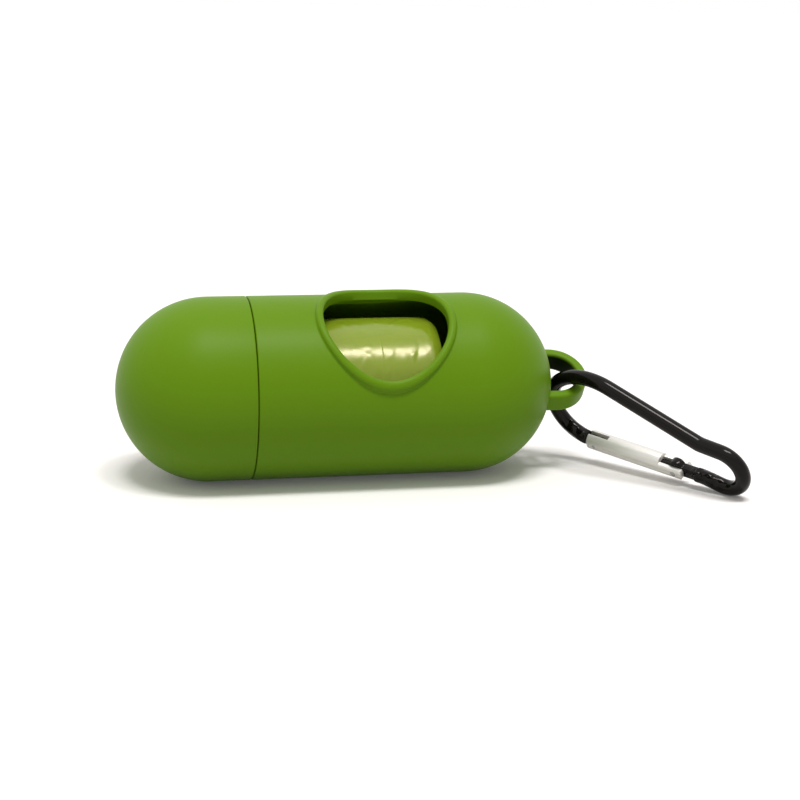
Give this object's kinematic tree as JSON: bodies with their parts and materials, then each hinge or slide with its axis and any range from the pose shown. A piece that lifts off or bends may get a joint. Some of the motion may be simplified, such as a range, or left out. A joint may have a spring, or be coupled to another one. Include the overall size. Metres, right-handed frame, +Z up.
{
  "type": "dog poop bag dispenser",
  "caption": "Capsule dispenser for rolled dog waste bags: lipped side window, screw cap, carrying loop and a clip carabiner with a sprung gate.",
  "frame": {"origin": "on the floor under the middle of the capsule, which lies on its belly", "axes": "+X along the capsule towards the loop and the carabiner, -Y towards the side with the window, +Z up"},
  "size_m": [0.1254, 0.0534, 0.0389],
  "materials": {
    "green_plastic": "satin moulded",
    "bag_film": "thin glossy film",
    "core_card": "grey-brown card",
    "black_anodised": "gloss black anodised",
    "bare_aluminium": "satin drawn",
    "steel": "plain"
  },
  "bodies": {
    "body": {"housing": "green_plastic"},
    "roll": {"roll_core": "core_card"},
    "cap": {"cap": "green_plastic"},
    "bags": {"bag_01": "bag_film", "bag_02": "bag_film", "bag_03": "bag_film", "bag_04": "bag_film", "bag_05": "bag_film", "bag_06": "bag_film", "bag_07": "bag_film", "bag_08": "bag_film", "bag_09": "bag_film", "bag_10": "bag_film", "bag_11": "bag_film", "bag_12": "bag_film", "bag_13": "bag_film", "bag_14": "bag_film", "bag_15": "bag_film"},
    "carabiner": {"carabiner_frame": "black_anodised"},
    "gate": {"carabiner_gate": "bare_aluminium", "gate_rivet": "steel", "latch_pin": "steel"},
    "plunger": {"gate_plunger": "steel", "gate_spring": "steel"}
  },
  "joints": [
    {"name": "roll_draw", "type": "slide", "parent": "body", "child": "roll", "axis": [-1, 0, 0], "range_m": [0, 0.009]},
    {"name": "cap_turn", "type": "hinge", "parent": "roll", "child": "cap", "pos_m": [-0.0188, 0, 0.019], "axis": [-1, 0, 0], "range_deg": [0, 360]},
    {"name": "roll_spin", "type": "hinge", "parent": "roll", "child": "bags", "pos_m": [-0.0066, 0, 0.0182], "axis": [1, 0, 0], "continuous": true},
    {"name": "carabiner_swing", "type": "hinge", "parent": "body", "child": "carabiner", "pos_m": [0.04805, -0.0005, 0.0186], "axis": [0, -0.5446, 0.8387], "range_deg": [0, 120]},
    {"name": "gate_swing", "type": "hinge", "parent": "carabiner", "child": "gate", "pos_m": [0.06958, -0.01789, 0.00336], "axis": [0.7307, 0.475, 0.4903], "range_deg": [0, 20], "stiffness_Nm_per_rad": 0.02, "springref_deg": -17.19},
    {"name": "plunger_slide", "type": "slide", "parent": "gate", "child": "plunger", "axis": [-0.5853, 0.8056, 0.0918], "range_m": [0, 0.0002], "deforming": ["gate_spring"]}
  ],
  "couplings": [
    {"joint": "cap_turn", "follows": "roll_draw", "rad_per_m": 698.13},
    {"joint": "gate_swing", "follows": "plunger_slide", "rad_per_m": 1745.3}
  ]
}
